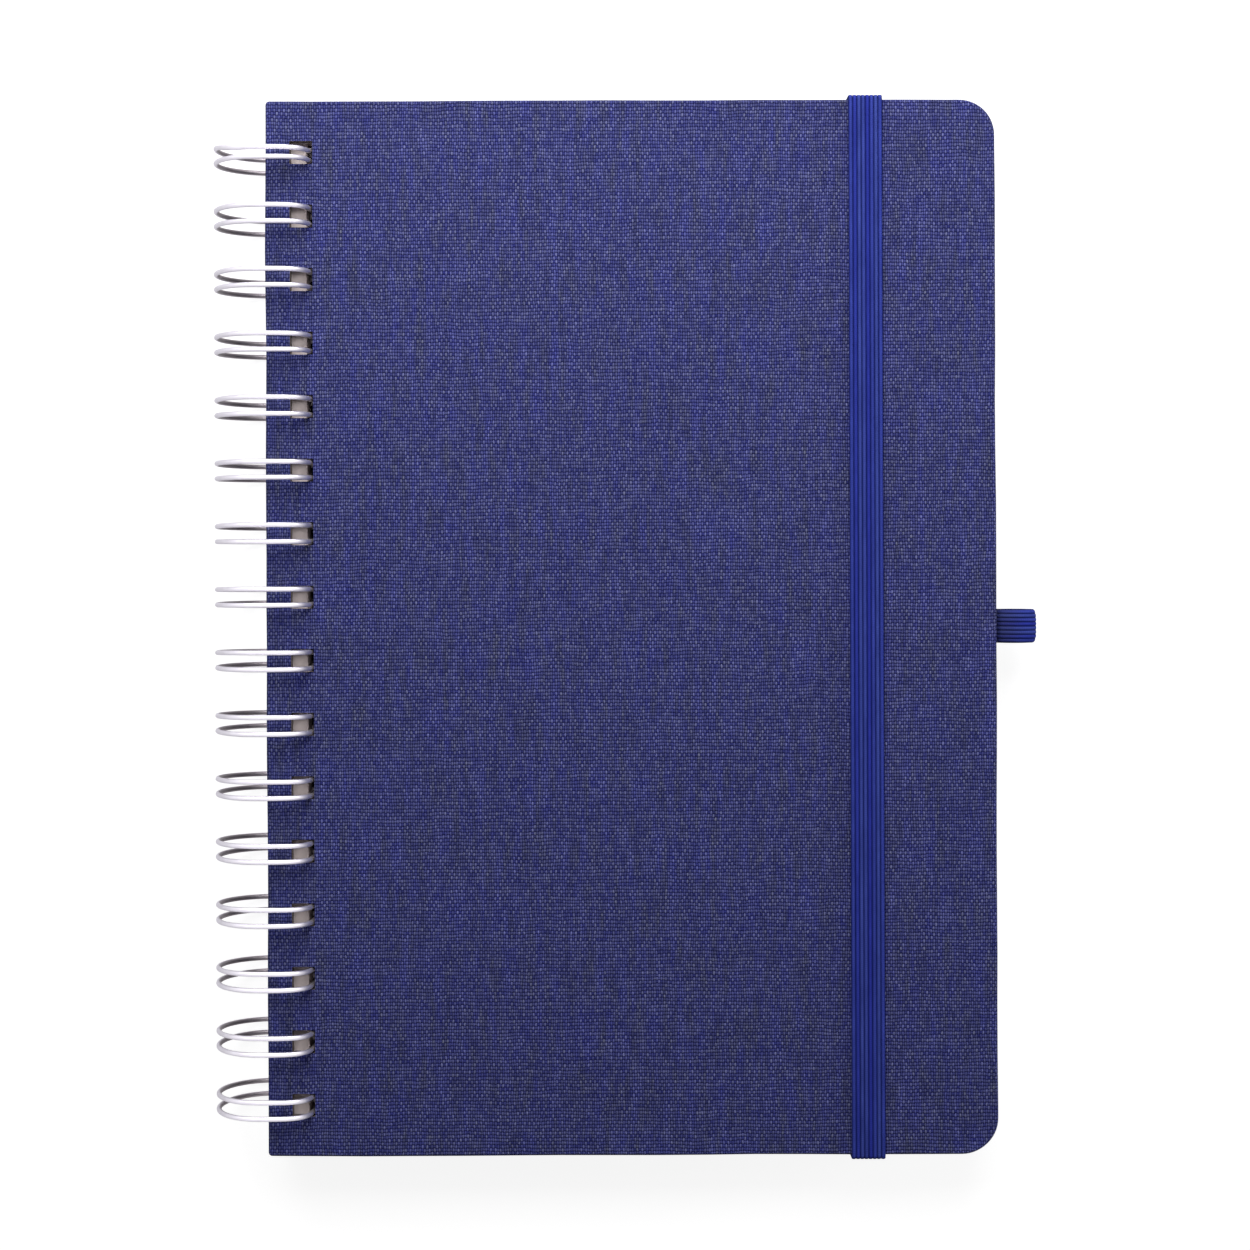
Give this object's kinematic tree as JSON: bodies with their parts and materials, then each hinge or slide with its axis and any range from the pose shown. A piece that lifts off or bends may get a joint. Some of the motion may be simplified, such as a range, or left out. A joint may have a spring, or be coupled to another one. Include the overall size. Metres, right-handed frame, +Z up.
{
  "type": "wire-bound reporter notebook",
  "caption": "Hard-cover notebook bound in twin wire loops along one long edge, with an elastic band that holds it shut and an elastic pen loop.",
  "frame": {"origin": "middle of the footprint, on the surface that the wire loops rest on", "axes": "+X from the wire loops to the fore edge, +Y from tail to head along the spine, +Z up through the front cover"},
  "size_m": [0.166, 0.2126, 0.0206],
  "materials": {
    "greyboard": "matte, pressed grey fibre",
    "book_cloth": "matte plain-weave book cloth in mixed dark blue and violet-blue threads",
    "lining_paper": "matte uncoated paper",
    "page_paper": "matte writing paper",
    "plated_wire": "bright plated steel wire",
    "blue_elastic": "ribbed woven elastic in saturated blue"
  },
  "bodies": {
    "back_cover": {"back_board": "greyboard", "back_cloth": "book_cloth", "back_lining": "lining_paper", "twin_loop_wire": "plated_wire", "elastic_band": "blue_elastic", "pen_loop": "blue_elastic"},
    "pages": {"page_block": "page_paper"},
    "front_cover": {"front_board": "greyboard", "front_cloth": "book_cloth", "front_lining": "lining_paper"}
  },
  "joints": [
    {"name": "page_block_hinge", "type": "hinge", "parent": "back_cover", "child": "pages", "pos_m": [-0.07272, 0, 0.0103], "axis": [0, -1, 0], "range_deg": [0, 180], "deforming": ["elastic_band"]},
    {"name": "front_cover_hinge", "type": "hinge", "parent": "pages", "child": "front_cover", "pos_m": [-0.07272, 0, 0.0103], "axis": [0, -1, 0], "range_deg": [0, 180], "deforming": ["elastic_band"]}
  ]
}
